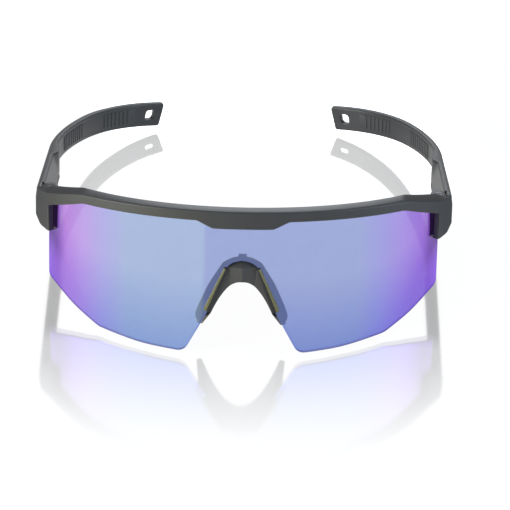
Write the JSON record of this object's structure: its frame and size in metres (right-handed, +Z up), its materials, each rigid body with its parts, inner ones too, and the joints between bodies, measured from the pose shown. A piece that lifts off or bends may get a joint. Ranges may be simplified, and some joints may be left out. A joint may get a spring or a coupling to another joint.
{
  "type": "glacier glasses",
  "caption": "Half-rim wrap-round glacier glasses: a curved mirrored shield lens under a brow frame, with a clip-on nose piece and folding temples that have strap slots at their ends.",
  "frame": {"origin": "centre of the footprint on the floor, with the glasses standing open on the lens's lower edge and the temple tips", "axes": "+X to the wearer's left, +Y from the lens towards the temple tips, +Z up from the floor"},
  "size_m": [0.142, 0.1472, 0.0531],
  "materials": {
    "frame_nylon": "moulded charcoal nylon with a fine matte grain",
    "mirror_lens": "polished polycarbonate with a blue to violet mirror coating, partly see-through",
    "clip_olive": "satin olive plastic",
    "soft_rubber": "soft matte black rubber",
    "screw_steel": "turned steel",
    "insert_brass": "turned brass"
  },
  "bodies": {
    "front": {"brow_frame": "frame_nylon", "shield_lens": "mirror_lens", "nose_clip": "clip_olive", "nose_saddle": "soft_rubber", "left_hinge_screw": "screw_steel", "right_hinge_screw": "screw_steel", "left_hinge_insert": "insert_brass", "right_hinge_insert": "insert_brass"},
    "left_arm": {"left_temple": "frame_nylon", "left_temple_grip": "soft_rubber"},
    "right_arm": {"right_temple": "frame_nylon", "right_temple_grip": "soft_rubber"}
  },
  "joints": [
    {"name": "left_temple_fold", "type": "hinge", "parent": "front", "child": "left_arm", "pos_m": [0.066, -0.03342, 0.03477], "axis": [0, 0.1883, 0.9821], "range_deg": [0, 80]},
    {"name": "right_temple_fold", "type": "hinge", "parent": "front", "child": "right_arm", "pos_m": [-0.066, -0.03342, 0.03477], "axis": [0, -0.1883, -0.9821], "range_deg": [0, 66]}
  ]
}
